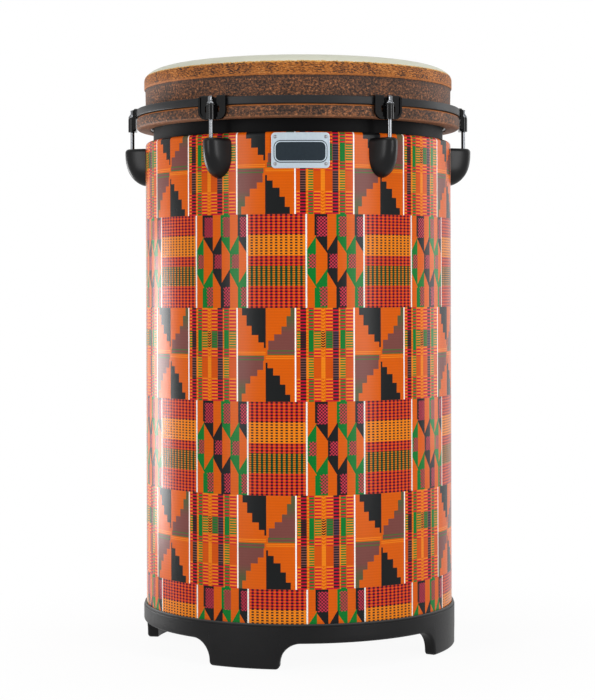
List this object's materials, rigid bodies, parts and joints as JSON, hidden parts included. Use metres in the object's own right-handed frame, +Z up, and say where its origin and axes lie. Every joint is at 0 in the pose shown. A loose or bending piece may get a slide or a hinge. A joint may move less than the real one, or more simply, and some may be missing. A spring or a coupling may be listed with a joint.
{
  "type": "tall floor drum",
  "caption": "Tall tubular floor drum: film head on a rod-tuned counterhoop, cloth-printed shell, footed rubber ring, and a bass tube inside.",
  "frame": {"origin": "on the drum's axis at the floor, under the middle of the four feet", "axes": "+Z up along the shell; -Y towards the front, where the badge is; +X to the right of someone who faces the badge"},
  "size_m": [0.3846, 0.359, 0.635],
  "materials": {
    "shell_board": "sealed wood-fibre board",
    "printed_wrap": "satin printed wrap in a traditional strip-woven cloth pattern",
    "black_ring": "satin black lacquer",
    "head_film": "matt off-white film with a brown fibre-look collar",
    "skirt_film": "brown speckled fibre-look film",
    "bare_aluminium": "bare rolled metal",
    "black_steel": "satin black powder coat",
    "foot_rubber": "matt moulded rubber",
    "badge_metal": "fine brushed",
    "rod_chrome": "polished",
    "washer_nylon": "moulded",
    "lug_black": "satin black paint on a casting",
    "plain_steel": "zinc plated"
  },
  "bodies": {
    "shell": {"shell_tube": "shell_board", "print_wrap": "printed_wrap", "neck_ring": "black_ring", "drumhead": "head_film", "foot_ring": "foot_rubber", "bottom_baffle": "shell_board", "bass_tube": "shell_board", "badge_plate": "badge_metal", "badge_rivet_1": "badge_metal", "badge_rivet_2": "badge_metal", "badge_rivet_3": "badge_metal", "badge_rivet_4": "badge_metal", "tuning_lug_1": "lug_black", "tuning_lug_2": "lug_black", "tuning_lug_3": "lug_black", "tuning_lug_4": "lug_black", "tuning_lug_5": "lug_black", "tuning_lug_6": "lug_black", "lug_nut_1": "plain_steel", "lug_nut_2": "plain_steel", "lug_nut_3": "plain_steel", "lug_nut_4": "plain_steel", "lug_nut_5": "plain_steel", "lug_nut_6": "plain_steel", "upper_lug_screw_1": "plain_steel", "upper_lug_screw_2": "plain_steel", "upper_lug_screw_3": "plain_steel", "upper_lug_screw_4": "plain_steel", "upper_lug_screw_5": "plain_steel", "upper_lug_screw_6": "plain_steel", "lower_lug_screw_1": "plain_steel", "lower_lug_screw_2": "plain_steel", "lower_lug_screw_3": "plain_steel", "lower_lug_screw_4": "plain_steel", "lower_lug_screw_5": "plain_steel", "lower_lug_screw_6": "plain_steel"},
    "hoop": {"counterhoop": "black_steel", "flesh_hoop": "bare_aluminium", "head_skirt": "skirt_film", "hoop_clip_1": "black_steel", "hoop_clip_2": "black_steel", "hoop_clip_3": "black_steel", "hoop_clip_4": "black_steel", "hoop_clip_5": "black_steel", "hoop_clip_6": "black_steel", "rod_washer_1": "washer_nylon", "rod_washer_2": "washer_nylon", "rod_washer_3": "washer_nylon", "rod_washer_4": "washer_nylon", "rod_washer_5": "washer_nylon", "rod_washer_6": "washer_nylon"},
    "rod_1": {"tension_rod_1": "rod_chrome"},
    "rod_2": {"tension_rod_2": "rod_chrome"},
    "rod_3": {"tension_rod_3": "rod_chrome"},
    "rod_4": {"tension_rod_4": "rod_chrome"},
    "rod_5": {"tension_rod_5": "rod_chrome"},
    "rod_6": {"tension_rod_6": "rod_chrome"}
  },
  "joints": [
    {"name": "hoop_tension", "type": "slide", "parent": "shell", "child": "hoop", "axis": [0, 0, -1], "range_m": [-0.003, 0.003]},
    {"name": "rod_1_turn", "type": "hinge", "parent": "hoop", "child": "rod_1", "pos_m": [0.09218, -0.15965, 0.58], "axis": [0, 0, -1], "range_deg": [-1030, 1030]},
    {"name": "rod_2_turn", "type": "hinge", "parent": "hoop", "child": "rod_2", "pos_m": [0.18435, 0, 0.58], "axis": [0, 0, -1], "range_deg": [-1030, 1030]},
    {"name": "rod_3_turn", "type": "hinge", "parent": "hoop", "child": "rod_3", "pos_m": [0.09218, 0.15965, 0.58], "axis": [0, 0, -1], "range_deg": [-1030, 1030]},
    {"name": "rod_4_turn", "type": "hinge", "parent": "hoop", "child": "rod_4", "pos_m": [-0.09218, 0.15965, 0.58], "axis": [0, 0, -1], "range_deg": [-1030, 1030]},
    {"name": "rod_5_turn", "type": "hinge", "parent": "hoop", "child": "rod_5", "pos_m": [-0.18435, 0, 0.58], "axis": [0, 0, -1], "range_deg": [-1030, 1030]},
    {"name": "rod_6_turn", "type": "hinge", "parent": "hoop", "child": "rod_6", "pos_m": [-0.09218, -0.15965, 0.58], "axis": [0, 0, -1], "range_deg": [-1030, 1030]}
  ],
  "couplings": [
    {"joint": "rod_1_turn", "follows": "hoop_tension", "rad_per_m": 5937},
    {"joint": "rod_2_turn", "follows": "hoop_tension", "rad_per_m": 5937},
    {"joint": "rod_3_turn", "follows": "hoop_tension", "rad_per_m": 5937},
    {"joint": "rod_4_turn", "follows": "hoop_tension", "rad_per_m": 5937},
    {"joint": "rod_5_turn", "follows": "hoop_tension", "rad_per_m": 5937},
    {"joint": "rod_6_turn", "follows": "hoop_tension", "rad_per_m": 5937}
  ]
}
